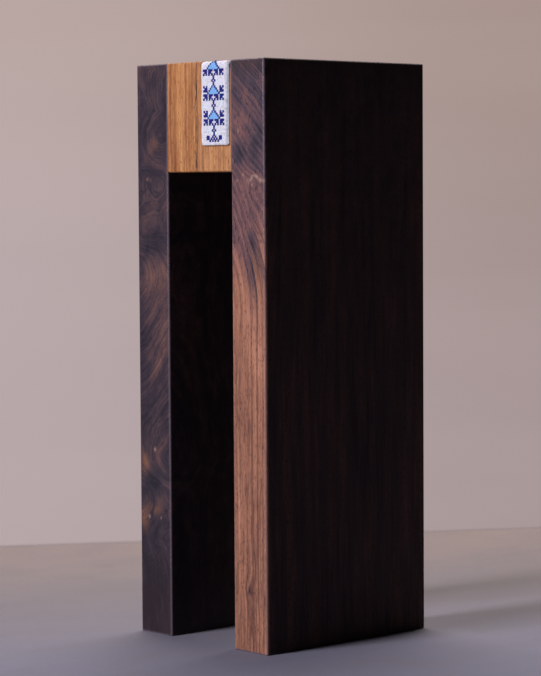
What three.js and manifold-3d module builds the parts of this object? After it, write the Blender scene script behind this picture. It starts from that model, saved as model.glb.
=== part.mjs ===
// A free-standing mezuzah case in the shape of a doorway: two walnut posts, a two-board pale
// lintel between their upper ends, and an embroidered linen cover that lifts off the lintel's
// right-hand board to open a channel for the rolled parchment.
//
// Millimetres. X runs across the doorway, -Y is the front and +Z is up. The origin is on the
// floor, in the middle of the footprint. Front and back are alike, so most Y values are given as
// a distance from the middle.

import * as THREE from "three";
import { mergeVertices } from "three/addons/utils/BufferGeometryUtils.js";
import Module from "manifold-3d";

// ---- Driving dimensions -------------------------------------------------------------------

// Boards
const caseHeight = 300;
const caseDepth = 113.5; // width of every board, front to back
const postThickness = 25;
const doorwayWidth = 50; // clear width between the posts
const lintelHeight = 56.5;
const lintelSeamX = -1; // where the two lintel boards meet
const glueLine = 0.1; // film of glue between two pieces
const arrisRadius = 1; // eased edges of the boards
const arrisSteps = 3;

// Dowels
const dowelDiameter = 8;
const dowelLength = 30;
const dowelBevel = 1;
const dowelFluteDepth = 0.35;
const dowelFluteCount = 12;
const dowelFluteStart = 0.55; // share of the pitch that is left round
const dowelFluteFloor = 0.775;
const dowelHoleClearance = 0.25; // on the radius
const dowelEndClearance = 0.75; // room for glue beyond each end
const dowelHoleSides = 24;
const dowelCover = 3; // wood left above and below a dowel's hole
const postDowelDepth = 12; // part of a dowel that sits in a post
const postDowelInset = 18.75; // from the face of the boards to a post's dowels
const seamDowelInset = 38.75; // the same for the dowels across the seam

// Linen cover and the pieces that it is wrapped round
const coverSeamGap = 5.2; // between the seam of the lintel and the cover
const coverSideGap = 1.1; // between the cover and the right-hand post
const coverDrop = 43; // how far the cover hangs down each face of the lintel
const coverFoldRadius = 2.5;
const foldSteps = 6;
const clothThickness = 0.6;
const hemThickness = 0.4;
const hemWidth = 5;
const pasteGap = 0.05; // between the cloth and what it is wrapped round
const stiffenerThickness = 0.95;
const lidThickness = 3.4;
const flapClearance = 0.15; // between a hanging flap and the face of the lintel
const rebateClearance = 0.3; // between the cover and the shoulder of its rebate
const seatGap = 0.1; // between the lid and the floor of the rebate

// Scroll and its channel, which takes a 10 cm parchment
const scrollDiameter = 12;
const scrollTurns = 3.5;
const scrollPitch = 0.7; // from one turn to the next
const parchmentThickness = 0.4;
const turnSides = 24;
const sleeveThickness = 0.15;
const sleeveLength = 60;
const sleeveGap = 0.1;
const sleeveSides = 48;
const channelEndWall = 5.25; // wood between the channel and the face of the lintel
const channelEndClearance = 1.5; // beyond each end of the scroll
const channelSideClearance = 1.25; // on each side of the sleeve
const channelHeadroom = 6.2; // over the sleeve
const channelFloorGap = 0.3; // under the sleeve
const channelArcSteps = 12;

// ---- Sizes worked out from them -----------------------------------------------------------

const boardFaceY = caseDepth / 2;
const postInnerX = doorwayWidth / 2;
const postOuterX = postInnerX + postThickness;
const lintelBottom = caseHeight - lintelHeight;

const flapInnerY = boardFaceY + flapClearance;
const hemFaceY = flapInnerY + hemThickness;
const stiffenerInnerY = hemFaceY + pasteGap;
const stiffenerOuterY = stiffenerInnerY + stiffenerThickness;
const coverFaceY = stiffenerOuterY + pasteGap + clothThickness;
const lidEndY = stiffenerInnerY - glueLine;

const coverRight = postInnerX - coverSideGap;
const coverLeft = lintelSeamX + coverSeamGap;
const coverWidth = coverRight - coverLeft;
const coverBottom = caseHeight - coverDrop;
const wrapInset = clothThickness + pasteGap; // from the cover's outside to what it covers
const lidBottom = caseHeight - wrapInset - lidThickness;
const rebateFloor = lidBottom - seatGap;
const rebateLeft = coverLeft - rebateClearance;

const scrollRadius = scrollDiameter / 2;
const sleeveInnerRadius = scrollRadius + sleeveGap;
const sleeveRadius = sleeveInnerRadius + sleeveThickness;
const channelX = (coverLeft + coverRight) / 2;
const channelRadius = sleeveRadius + channelSideClearance;
const scrollZ = rebateFloor - channelHeadroom - sleeveRadius;
const channelFloor = scrollZ - sleeveRadius - channelFloorGap;
const channelLength = caseDepth - channelEndWall * 2;
const scrollLength = channelLength - channelEndClearance * 2;

const dowelHoleRadius = dowelDiameter / 2 + dowelHoleClearance;
const lowerRowZ = lintelBottom + dowelCover + dowelHoleRadius;
const upperRowZ = channelFloor - dowelCover - dowelHoleRadius;
const postDowelX = postInnerX + postDowelDepth - dowelLength / 2;

const overrun = 1; // how far a cutting tool runs past what it cuts

// ---- Colours ------------------------------------------------------------------------------

const paint = (colour, roughness) =>
  new THREE.MeshStandardMaterial({ color: colour, roughness, metalness: 0 });
const walnut = paint(0x3a2620, 0.45);
const paleWood = paint(0xb5804f, 0.5);
const beech = paint(0xd2a878, 0.65);
const card = paint(0xb9ab92, 0.9);
const linen = paint(0xe2dcea, 0.95);
const parchment = paint(0xe6d7ae, 0.7);
const paper = paint(0xf1ece0, 0.85);

// ---- Tools --------------------------------------------------------------------------------

const wasm = await Module();
wasm.setup();

// A three.js geometry as a solid that can be joined and cut.
function solid(geometry) {
  const bare = geometry.clone();
  for (const name of ["normal", "uv"]) bare.deleteAttribute(name);
  const merged = mergeVertices(bare);
  return new wasm.Manifold(
    new wasm.Mesh({
      numProp: 3,
      vertProperties: new Float32Array(merged.attributes.position.array),
      triVerts: new Uint32Array(merged.index.array),
    }),
  );
}

// The solid back as a three.js geometry.
function geometryOf(made) {
  const mesh = made.getMesh();
  const geometry = new THREE.BufferGeometry();
  geometry.setAttribute("position", new THREE.BufferAttribute(mesh.vertProperties, mesh.numProp));
  geometry.setIndex(new THREE.BufferAttribute(mesh.triVerts, 1));
  geometry.computeVertexNormals();
  return geometry;
}

// A box between two corners.
function block(low, high) {
  const size = high.map((value, axis) => value - low[axis]);
  const middle = high.map((value, axis) => (value + low[axis]) / 2);
  return solid(new THREE.BoxGeometry(...size).translate(...middle));
}

// A closed outline through a list of points.
function outlineThrough(points) {
  return new THREE.Shape(points.map(([x, y]) => new THREE.Vector2(x, y)));
}

// An outline extruded by a depth, with its own x and y left as they are.
function extruded(outline, depth, options = {}) {
  return new THREE.ExtrudeGeometry(outline, { depth, bevelEnabled: false, ...options });
}

// A bar that takes the sharp corner off an edge and leaves a quarter round. `middle` is the
// middle of the edge, and `outA` and `outB` point out of the two faces that meet there.
function arrisWaste(middle, outA, outB, length) {
  const points = [[-arrisRadius, overrun]];
  for (let step = 0; step <= arrisSteps; step++) {
    const angle = (Math.PI / 2) * (1 - step / arrisSteps);
    points.push([arrisRadius * (Math.cos(angle) - 1), arrisRadius * (Math.sin(angle) - 1)]);
  }
  points.push([overrun, -arrisRadius], [overrun, overrun]);
  const run = length + overrun * 2;
  const bar = extruded(outlineThrough(points), run).translate(0, 0, -run / 2);
  const a = new THREE.Vector3(...outA);
  const b = new THREE.Vector3(...outB);
  const stand = new THREE.Matrix4().makeBasis(a, b, a.clone().cross(b)).setPosition(...middle);
  return solid(bar.applyMatrix4(stand));
}

const cutAway = (wood, tools) => tools.reduce((left, tool) => left.subtract(tool), wood);

// ---- Dowels -------------------------------------------------------------------------------

// Middles of the dowels in the three glued joints. A post takes `postDowelDepth` of each of its
// dowels, and the seam's dowels are halved between the two lintel boards.
const dowels = [];
const sides = [["left", -1], ["right", 1]];
const faces = [["front", -1], ["back", 1]];
const rows = [["lower", lowerRowZ], ["upper", upperRowZ]];
for (const [face, outY] of faces) {
  for (const [side, outX] of sides)
    for (const [row, z] of rows) {
      const middle = [outX * postDowelX, outY * (boardFaceY - postDowelInset), z];
      dowels.push({ name: `${side}_${face}_${row}_dowel`, middle });
    }
  const middle = [lintelSeamX, outY * (boardFaceY - seamDowelInset), lowerRowZ];
  dowels.push({ name: `seam_${face}_dowel`, middle });
}

// A fluted dowel with bevelled ends, lying along X with its middle at the origin.
function dowelGeometry() {
  const radius = dowelDiameter / 2 - dowelBevel; // the bevel brings it out to full size
  const grooves = [[0, 0], [dowelFluteStart, 0], [dowelFluteFloor, dowelFluteDepth]];
  const points = [];
  for (let flute = 0; flute < dowelFluteCount; flute++)
    for (const [share, depth] of grooves) {
      const angle = ((flute + share) / dowelFluteCount) * Math.PI * 2;
      points.push([Math.cos(angle) * (radius - depth), Math.sin(angle) * (radius - depth)]);
    }
  const straight = dowelLength - dowelBevel * 2;
  return extruded(outlineThrough(points), straight, {
    bevelEnabled: true,
    bevelThickness: dowelBevel,
    bevelSize: dowelBevel,
    bevelSegments: 1,
  })
    .translate(0, 0, -straight / 2)
    .rotateY(Math.PI / 2);
}

// The holes for all the dowels, a little wider and longer than the dowels.
function dowelHoles() {
  const length = dowelLength + dowelEndClearance * 2;
  const hole = new THREE.CylinderGeometry(
    dowelHoleRadius,
    dowelHoleRadius,
    length,
    dowelHoleSides,
  );
  hole.rotateZ(Math.PI / 2);
  return dowels.map(({ middle }) => solid(hole.clone().translate(...middle)));
}

// ---- Posts and lintel ---------------------------------------------------------------------

// A post on the left (-1) or right (1). Every edge is eased, apart from those beside the lintel.
function post(outX) {
  const [low, high] = [outX * postInnerX, outX * postOuterX].sort((a, b) => a - b);
  const middleX = (low + high) / 2;
  const outside = [outX, 0, 0];
  const inside = [-outX, 0, 0];
  const down = [0, 0, -1];
  const tools = [arrisWaste([outX * postInnerX, 0, 0], inside, down, caseDepth)];
  for (const [z, end] of [[0, down], [caseHeight, [0, 0, 1]]]) {
    tools.push(arrisWaste([outX * postOuterX, 0, z], outside, end, caseDepth));
    for (const [, outY] of faces)
      tools.push(arrisWaste([middleX, outY * boardFaceY, z], [0, outY, 0], end, postThickness));
  }
  for (const [, outY] of faces) {
    const y = outY * boardFaceY;
    const face = [0, outY, 0];
    const clear = lintelBottom - overrun; // ends at the lintel once the tool has run past it
    tools.push(arrisWaste([outX * postOuterX, y, caseHeight / 2], outside, face, caseHeight));
    tools.push(arrisWaste([outX * postInnerX, y, clear / 2], inside, face, clear));
  }
  const board = block([low, -boardFaceY, 0], [high, boardFaceY, caseHeight]);
  return cutAway(board, [...tools, ...dowelHoles()]);
}

// A board of the lintel, eased where its faces meet its top and its underside.
function lintelBoard(left, right) {
  const tools = [];
  for (const [z, end] of [[lintelBottom, [0, 0, -1]], [caseHeight, [0, 0, 1]]])
    for (const [, outY] of faces) {
      const middle = [(left + right) / 2, outY * boardFaceY, z];
      tools.push(arrisWaste(middle, [0, outY, 0], end, right - left));
    }
  const board = block([left, -boardFaceY, lintelBottom], [right, boardFaceY, caseHeight]);
  return cutAway(board, [...tools, ...dowelHoles()]);
}

// The rebate that the lid drops into, open at both faces and beside the post.
function rebate() {
  return block(
    [rebateLeft, -boardFaceY - overrun, rebateFloor],
    [postInnerX + overrun, boardFaceY + overrun, caseHeight + overrun],
  );
}

// The round-bottomed channel for the scroll, stopped short of both faces.
function channel() {
  const points = [[-channelRadius, rebateFloor + overrun]];
  for (let step = 0; step <= channelArcSteps; step++) {
    const angle = Math.PI * (1 + step / channelArcSteps);
    const z = channelFloor + channelRadius * (1 + Math.sin(angle));
    points.push([channelRadius * Math.cos(angle), z]);
  }
  points.push([channelRadius, rebateFloor + overrun]);
  const cut = extruded(outlineThrough(points), channelLength).rotateX(Math.PI / 2);
  return solid(cut.translate(channelX, channelLength / 2, 0));
}

// ---- Cover --------------------------------------------------------------------------------

// A saddle over the lintel board. It lies `inset` inside the finished cover on every outer side;
// `innerY` is the inner face of its flaps, and `under` is the underside between them.
function saddle(inset, innerY, under) {
  const outerY = coverFaceY - inset;
  const top = caseHeight - inset;
  const bottom = coverBottom + inset;
  const fold = coverFoldRadius - inset;
  const outline = new THREE.Shape();
  outline.moveTo(-outerY, bottom);
  outline.lineTo(-innerY, bottom);
  outline.lineTo(-innerY, under);
  outline.lineTo(innerY, under);
  outline.lineTo(innerY, bottom);
  outline.lineTo(outerY, bottom);
  outline.absarc(outerY - fold, top - fold, fold, 0, Math.PI / 2, false);
  outline.absarc(fold - outerY, top - fold, fold, Math.PI / 2, Math.PI, false);
  outline.closePath();
  // The outline's own x becomes Y, its y becomes Z, and its depth runs along X.
  const along = new THREE.Matrix4().makeBasis(
    new THREE.Vector3(0, 1, 0),
    new THREE.Vector3(0, 0, 1),
    new THREE.Vector3(1, 0, 0),
  );
  const width = coverWidth - inset * 2;
  const bar = extruded(outline, width, { curveSegments: foldSteps }).applyMatrix4(along);
  return solid(bar.translate(coverLeft + inset, 0, 0));
}

// The linen: folded over the outside, with its edges turned in behind the flaps.
function linenCover() {
  const packed = saddle(clothThickness, hemFaceY, lidBottom - overrun);
  const betweenHems = block(
    [coverLeft + hemWidth, -hemFaceY - overrun / 2, coverBottom + hemWidth],
    [coverRight - hemWidth, hemFaceY + overrun / 2, lidBottom],
  );
  return cutAway(saddle(0, flapInnerY, lidBottom), [packed, betweenHems]);
}

// What the linen is wrapped round, before it is parted into the lid and the two stiffeners.
const packing = saddle(wrapInset, stiffenerInnerY, lidBottom);

function slice(fromY, toY) {
  return packing.intersect(
    block([coverLeft, fromY, coverBottom], [coverRight, toY, caseHeight]),
  );
}

// ---- Scroll -------------------------------------------------------------------------------

// The parchment, rolled up along Y. It winds inwards from the edge of the sheet.
function scrollGeometry() {
  const outer = [];
  const inner = [];
  const steps = scrollTurns * turnSides;
  for (let step = 0; step <= steps; step++) {
    const turn = step / turnSides;
    const angle = turn * Math.PI * 2;
    const reach = scrollRadius - turn * scrollPitch;
    outer.push([Math.cos(angle) * reach, Math.sin(angle) * reach]);
    const within = reach - parchmentThickness;
    inner.push([Math.cos(angle) * within, Math.sin(angle) * within]);
  }
  const spiral = outlineThrough([...outer, ...inner.reverse()]);
  const roll = extruded(spiral, scrollLength).rotateX(Math.PI / 2);
  return roll.translate(channelX, scrollLength / 2, scrollZ);
}

// The paper sleeve round the middle of the scroll, which keeps it rolled.
function sleeveGeometry() {
  const end = sleeveLength / 2;
  const wall = [
    [sleeveInnerRadius, -end],
    [sleeveRadius, -end],
    [sleeveRadius, end],
    [sleeveInnerRadius, end],
    [sleeveInnerRadius, -end],
  ];
  const points = wall.map(([radius, along]) => new THREE.Vector2(radius, along));
  return new THREE.LatheGeometry(points, sleeveSides).translate(channelX, 0, scrollZ);
}

// ---- The assembly -------------------------------------------------------------------------

const group = new THREE.Group();
group.name = "mezuzah_case";

function add(name, geometry, material) {
  const mesh = new THREE.Mesh(geometry, material);
  mesh.name = name;
  group.add(mesh);
  return mesh;
}

const leftBoard = lintelBoard(glueLine - postInnerX, lintelSeamX - glueLine / 2);
const rightBoard = lintelBoard(lintelSeamX + glueLine / 2, postInnerX - glueLine);

add("left_post", geometryOf(post(-1)), walnut);
add("right_post", geometryOf(post(1)), walnut);
add("left_lintel", geometryOf(leftBoard), paleWood);
add("right_lintel", geometryOf(cutAway(rightBoard, [rebate(), channel()])), paleWood);
for (const { name, middle } of dowels) add(name, dowelGeometry(), beech).position.set(...middle);
add("lid_board", geometryOf(slice(-lidEndY, lidEndY)), paleWood);
add("front_stiffener", geometryOf(slice(-stiffenerOuterY, -stiffenerInnerY)), card);
add("back_stiffener", geometryOf(slice(stiffenerInnerY, stiffenerOuterY)), card);
add("linen_cover", geometryOf(linenCover()), linen);
add("scroll", scrollGeometry(), parchment);
add("scroll_sleeve", sleeveGeometry(), paper);

export default group;
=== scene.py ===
"""A mezuzah case in the shape of a doorway: walnut posts, a pale lintel and an embroidered cover."""

import functools
import math

import bpy
import bmesh
from mathutils import Color, Matrix, Vector


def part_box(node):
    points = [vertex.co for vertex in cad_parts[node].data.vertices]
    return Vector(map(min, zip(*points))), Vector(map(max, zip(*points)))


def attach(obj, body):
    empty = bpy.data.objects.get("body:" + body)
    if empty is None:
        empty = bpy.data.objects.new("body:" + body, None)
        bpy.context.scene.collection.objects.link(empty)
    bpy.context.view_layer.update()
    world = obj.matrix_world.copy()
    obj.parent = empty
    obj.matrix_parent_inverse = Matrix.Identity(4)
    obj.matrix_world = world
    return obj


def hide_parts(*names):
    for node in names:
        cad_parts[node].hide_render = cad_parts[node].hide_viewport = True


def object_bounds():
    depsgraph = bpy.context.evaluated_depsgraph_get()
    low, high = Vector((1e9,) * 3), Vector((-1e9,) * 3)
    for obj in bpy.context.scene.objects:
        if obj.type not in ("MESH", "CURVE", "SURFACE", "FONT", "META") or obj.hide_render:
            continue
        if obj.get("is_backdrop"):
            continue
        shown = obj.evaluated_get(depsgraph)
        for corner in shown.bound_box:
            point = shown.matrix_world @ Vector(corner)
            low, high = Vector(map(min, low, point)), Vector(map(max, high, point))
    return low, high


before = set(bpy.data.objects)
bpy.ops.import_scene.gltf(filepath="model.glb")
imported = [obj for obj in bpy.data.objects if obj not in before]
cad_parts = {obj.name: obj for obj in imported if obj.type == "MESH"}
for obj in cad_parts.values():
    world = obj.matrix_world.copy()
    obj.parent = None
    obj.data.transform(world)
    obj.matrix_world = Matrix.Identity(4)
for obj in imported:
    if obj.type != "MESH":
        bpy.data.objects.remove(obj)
CAD_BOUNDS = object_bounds()

bl_info = {
    "name": "Mezuzah Case",
    "version": (1, 0, 0),
    "blender": (4, 5, 0),
    "location": "3D View > Sidebar > Mezuzah Case",
    "description": "Builds the wood, linen, embroidery and parchment of a doorway-shaped case",
    "category": "Add Mesh",
}

MM = 0.001  # sizes below are in metres; patterns are worked out in millimetres
TAU = math.pi * 2
RIGHT_ANGLE = math.pi / 2


# ---- Settings -----------------------------------------------------------------------------


def colour(name, value, description):
    return bpy.props.FloatVectorProperty(
        name=name, description=description, subtype="COLOR", size=3, min=0, max=1, default=value
    )


def length(name, value, description):
    return bpy.props.FloatProperty(
        name=name, description=description, unit="LENGTH", default=value, precision=5
    )


def number(name, value, description):
    return bpy.props.FloatProperty(name=name, description=description, default=value)


class WoodLook(bpy.types.PropertyGroup):
    """Colours and figure of the woods."""

    # The two darkest walnut tones carry a cool blue-purple cast: partly the wood's own tone, partly a
    # painted sheen of the bluish window light.
    walnut_deep_cool_sheen: colour("Walnut shadow bands", (0.015, 0.0125, 0.018), "Darkest bands")
    walnut_heart_cool_sheen: colour("Walnut heart", (0.036, 0.0255, 0.033), "Dark heartwood of the posts")
    walnut_warm: colour("Walnut warm streaks", (0.085, 0.047, 0.045), "Warm streaks")
    walnut_ember: colour("Walnut bright streaks", (0.19, 0.095, 0.062), "Brightest streaks")
    walnut_plum: colour("Walnut plum", (0.148, 0.071, 0.064), "Upper part of the right post")
    walnut_rose: colour("Walnut rose", (0.42, 0.19, 0.108), "Straight-grained light walnut")
    walnut_line: colour("Walnut ring line", (0.105, 0.042, 0.03), "Latewood lines of light walnut")
    # Dark tone of the right post's side faces: partly walnut heartwood, partly painted shade of the
    # unlit side.
    walnut_shaded_side: colour("Walnut side", (0.034, 0.018, 0.011), "Wide faces of the right post")
    walnut_foot: colour("Walnut foot", (0.021, 0.0095, 0.0105), "Foot of the left post")
    # The curl and flecks of the figure are lightened with a painted shine.
    walnut_curl_shine: colour("Walnut curl", (0.4, 0.26, 0.19), "Shining curl and flecks")
    # Painted orange glints, placed on the burrs of the left post.
    painted_glint: colour("Walnut glints", (0.21, 0.09, 0.036), "Orange glints in the burrs")
    pin_knot: colour("Pin knots", (0.3, 0.19, 0.15), "Small pale knots")
    walnut_ring: length("Walnut ring spacing", 0.0031, "Distance between two growth rings")
    # Lavender tone of the eased edges: partly wear from handling, partly a painted highlight of the
    # window light.
    rubbed_edge_highlight: colour("Rubbed edge", (0.2, 0.15, 0.17), "Edges rubbed by handling")
    honey_light: colour("Honey light", (0.54, 0.26, 0.088), "Earlywood of the lintel")
    honey: colour("Honey", (0.32, 0.128, 0.04), "Body colour of the lintel")
    honey_pale: colour("Honey pale", (0.56, 0.32, 0.15), "Paler wood of the right board")
    honey_line: colour("Honey line", (0.15, 0.05, 0.02), "Latewood lines of the lintel")
    honey_streak: colour("Mineral streak", (0.06, 0.022, 0.015), "Dark streak beside the seam")
    honey_ring: length("Lintel ring spacing", 0.0021, "Distance between two growth rings")
    dowel: colour("Dowel wood", (0.62, 0.42, 0.24), "Bare beech")


class CoverLook(bpy.types.PropertyGroup):
    """Linen cover and its embroidery."""

    linen: colour("Linen", (0.98, 0.86, 0.845), "Bleached linen")
    slub: colour("Linen slubs", (0.7, 0.59, 0.56), "Thicker, browner yarns")
    navy: colour("Navy thread", (0.004, 0.008, 0.165), "Outlines and leaves")
    blue: colour("Light blue thread", (0.21, 0.45, 0.76), "Filling of the triangles")
    card: colour("Card", (0.5, 0.41, 0.29), "Stiffeners inside the flaps")
    cloth: length("Cloth thickness", 0.00036, "Thickness of the linen")
    relief: length("Room for the stitches", 0.00025, "How far the linen lies inside its box")
    stitch: length("Stitch pitch", 0.00105, "Side of one cross-stitch")
    floss: length("Thread width", 0.00076, "Width of a laid embroidery thread")
    yarn: length("Yarn pitch", 0.000525, "Distance between two linen yarns")


class ScrollLook(bpy.types.PropertyGroup):
    """Rolled parchment and its sleeve."""

    parchment: colour("Parchment", (0.72, 0.6, 0.38), "Scraped skin")
    hair_side: colour("Parchment mottling", (0.58, 0.44, 0.26), "Follicle and fat marks")
    paper: colour("Paper sleeve", (0.78, 0.74, 0.66), "Unbleached paper")
    turns: number("Turns", 3.5, "Turns of the rolled sheet")


class StageLook(bpy.types.PropertyGroup):
    """Table top, backdrop tone and light."""

    table: colour("Table top", (0.2, 0.185, 0.2), "Plain grey table top")
    wall: colour("Backdrop", (0.5, 0.405, 0.4), "Tone behind the case, at the left")
    wall_far: colour("Backdrop far side", (0.355, 0.27, 0.25), "Tone behind it, at the right")
    window: colour("Window light", (0.9, 0.86, 1.0), "Soft light from the front left")
    window_power: number("Window power", 44, "Strength of the window light, in watts")
    sky: colour("Skylight", (1.0, 0.9, 0.86), "Soft light from above and behind")
    sky_power: number("Skylight power", 48, "Strength of the light above, in watts")
    room: number("Room light", 0.011, "Strength of the light from all sides")
    lens: number("Lens", 129.1, "Focal length in millimetres")
    turn: bpy.props.FloatProperty(
        name="Table turn",
        description="Direction that the back edge of the table faces away from",
        subtype="ANGLE",
        default=math.radians(-30.8),
    )
    edge: length("Table edge", 0.352, "Distance from the case to the back edge of the table")


# ---- Node trees ---------------------------------------------------------------------------


def shade(tone, factor):
    """A lighter or darker tone of the same hue."""
    return tuple(value * factor for value in tone)


class Weave:
    """Adds nodes to a tree and links them, so that a pattern reads as a sum."""

    def __init__(self, tree):
        self.tree = tree

    def give(self, socket, value):
        """Links a socket, or sets its own value."""
        if isinstance(value, bpy.types.NodeSocket):
            self.tree.links.new(value, socket)
        else:
            socket.default_value = value

    def make(self, kind, inputs=None, output=0, **settings):
        """Adds a node, gives its inputs by name or number, and returns one output."""
        node = self.tree.nodes.new(kind)
        for key, value in settings.items():
            setattr(node, key, value)
        for key, value in (inputs or {}).items():
            self.give(node.inputs[key], value)
        return node.outputs[output]

    def math(self, operation, *values):
        return self.make("ShaderNodeMath", dict(enumerate(values)), operation=operation)

    def vector(self, operation, *values):
        output = "Value" if operation in {"LENGTH", "DOT_PRODUCT"} else "Vector"
        inputs = dict(enumerate(values))
        return self.make("ShaderNodeVectorMath", inputs, output, operation=operation)

    def split(self, vector):
        """The x, y and z of a vector."""
        return self.make("ShaderNodeSeparateXYZ", {0: vector}).node.outputs[:3]

    def join(self, x, y, z):
        return self.make("ShaderNodeCombineXYZ", {0: x, 1: y, 2: z})

    def less(self, value, taken):
        return self.math("SUBTRACT", value, taken)

    def times(self, *values):
        return functools.reduce(functools.partial(self.math, "MULTIPLY"), values)

    def total(self, *values):
        return functools.reduce(functools.partial(self.math, "ADD"), values)

    def weigh(self, *pairs):
        """A sum of values, each times its weight."""
        return self.total(*(self.times(value, weight) for value, weight in pairs))

    def noise(self, vector, size, detail=2, rough=0.5, output=0):
        """Cloudy noise with lumps of a given size along each axis, where 0 is endless."""
        scale = tuple(1 / lump if lump else 0 for lump in size)
        inputs = {"Scale": 1, "Detail": detail, "Roughness": rough}
        inputs["Vector"] = self.vector("MULTIPLY", vector, scale)
        return self.make("ShaderNodeTexNoise", inputs, output)

    def step(self, value, low, high, to_low=0.0, to_high=1.0):
        """A soft change from to_low to to_high as the value goes from low to high."""
        inputs = {"Value": value, "From Min": low, "From Max": high}
        inputs |= {"To Min": to_low, "To Max": to_high}
        return self.make("ShaderNodeMapRange", inputs, interpolation_type="SMOOTHSTEP")

    def bell(self, value, middle, width):
        """1 at the middle, falling away to 0 about two widths to either side."""
        away = self.math("DIVIDE", self.less(value, middle), width)
        return self.math("EXPONENT", self.times(away, away, -1))

    def mix(self, factor, first, second):
        inputs = {0: factor}
        for key, tone in ((6, first), (7, second)):
            inputs[key] = (*tone, 1) if isinstance(tone, (tuple, Color)) else tone
        return self.make("ShaderNodeMix", inputs, 2, data_type="RGBA")

    def ramp(self, factor, *stops):
        """A colour ramp through its stops, each a place and a tone."""
        output = self.make("ShaderNodeValToRGB", {0: factor})
        elements = output.node.color_ramp.elements
        while len(elements) < len(stops):
            elements.new(0.5)
        for element, (place, tone) in zip(elements, stops):
            element.position = place
            element.color = (*tone, 1)
        return output


class Finish(Weave):
    """A new material and the nodes of its principled surface."""

    def __init__(self, name):
        self.material = bpy.data.materials.new(name)
        self.material.use_nodes = True
        super().__init__(self.material.node_tree)

    def place(self):
        """The place in space, in mm."""
        metres = self.make("ShaderNodeTexCoord", output="Object")
        return self.vector("MULTIPLY", metres, (1 / MM,) * 3)

    def surface(self, tone, rough, height, depth, shine=0.5, **more):
        """Sets colour, roughness and relief, and returns the material. The depth is in metres
        for a height of 1; more inputs are named with _ for a space."""
        given = {"Base Color": tone, "Roughness": rough, "Specular IOR Level": shine}
        bump = {"Strength": 1, "Distance": depth, "Height": height}
        given["Normal"] = self.make("ShaderNodeBump", bump)
        given |= {key.replace("_", " ").title(): value for key, value in more.items()}
        for key, value in given.items():
            self.give(self.tree.nodes["Principled BSDF"].inputs[key], value)
        return self.material


def paint_node(name, material):
    """Gives a CAD node its finish through its material slots."""
    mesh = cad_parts[name].data
    mesh.materials.clear()
    mesh.materials.append(material)


# ---- Wood ---------------------------------------------------------------------------------

# Patches of figure on a front face: x, z, half width, half height and strength, in mm.
LEFT_SWERVES = (
    (-36, 262, 10, 9, 13),
    (-31, 238, 10, 12, -15),
    (-46, 214, 10, 9, 17),
    (-30, 92, 12, 9, 14),
    (-47, 74, 9, 8, -15),
    (-38, 50, 12, 12, 9),
)
LEFT_MOODS = (
    (-40, 189, 11, 9, 0.15),
    (-27, 168, 5, 30, 0.09),
    (-34, 146, 8, 24, 0.08),
    (-38, 226, 6, 7, 0.08),
    (-37, 258, 5, 5, 0.1),
    (-33, 283, 9, 9, 0.05),
    (-34, 96, 7, 7, 0.1),
    (-46, 91, 4, 6, 0.16),
    (-46, 61, 4, 5, 0.15),
    (-33, 70, 8, 5, 0.09),
    (-36, 208, 13, 7, -0.09),
    (-47, 156, 6, 26, -0.09),
    (-40, 80, 7, 4, -0.12),
    (-37, 20, 20, 26, -0.15),
    (-37, 122, 20, 30, -0.03),
    (-38, 66, 16, 34, -0.03),
    (-47, 272, 5, 16, -0.04),
)
# Places of the painted glints, in the same columns.
LEFT_GLINTS = (
    (-46, 90, 3.2, 5, 1),
    (-47, 60, 3, 5, 1),
    (-38, 66, 6, 2.5, 0.6),
    (-37, 259, 3.5, 4, 0.5),
)
LEFT_PINS = (
    (-37.5, 98, 0.9, 1.1, 1),
    (-42.5, 62, 0.8, 1, 1),
    (-33, 62, 0.6, 0.8, 0.7),
    (-42, 240, 0.6, 0.8, 0.6),
)
RIGHT_SWERVES = ((41, 240, 8, 5, -4), (37, 32, 2.6, 4.5, 2.8))
RIGHT_LIGHT_MOODS = ((43, 160, 8, 22, 0.1), (37, 20, 20, 40, -0.03), (29, 120, 5, 60, -0.04))
RIGHT_DARK_MOODS = (
    (34, 270, 9, 9, 0.06),
    (45, 262, 6, 14, -0.05),
    (34, 226, 8, 14, 0.04),
    (30, 250, 5, 9, -0.07),
    (41, 196, 3, 12, -0.12),
    (31, 196, 7, 14, 0.05),
)
# Places of the flecks that get the painted shine.
RIGHT_SHINE_FLECKS = (
    (38.5, 239, 1.1, 0.9, 1),
    (34, 242, 0.7, 0.8, 0.8),
    (41, 237, 0.8, 0.7, 0.8),
    (30.5, 264, 0.8, 0.9, 0.7),
    (29.5, 239, 0.7, 0.8, 0.6),
)
RIGHT_KNOT = ((36.8, 32, 0.9, 1.6, 1), (38.6, 30.8, 1.6, 0.7, 0.8), (35.6, 29.8, 0.7, 1.4, 0.6))
FINE_GRAIN = (3, 0.65)  # detail and roughness of the finest streaks
SATIN = 0.38  # roughness of the oiled faces
OIL_SHINE = 0.24
# The edge tone that this share sets is partly rubbed wear and partly a painted highlight.
RUBBED_HIGHLIGHT = 0.42  # how far the eased edges take the rubbed tone


def grain_flow(weave, place, pith, bend, restless):
    """Distance in mm from an upright pith, bent by `bend`: the grain runs where it is constant."""
    slow = weave.noise(place, (45, 45, 130), output="Color")
    drift = weave.vector("SUBTRACT", slow, (0.5,) * 3)
    moved = weave.vector("MULTIPLY_ADD", drift, (restless, restless, 0), place)
    across = weave.vector("MULTIPLY", weave.vector("SUBTRACT", moved, (*pith, 0)), (1, 1, 0))
    return weave.total(weave.vector("LENGTH", across), bend)


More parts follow.
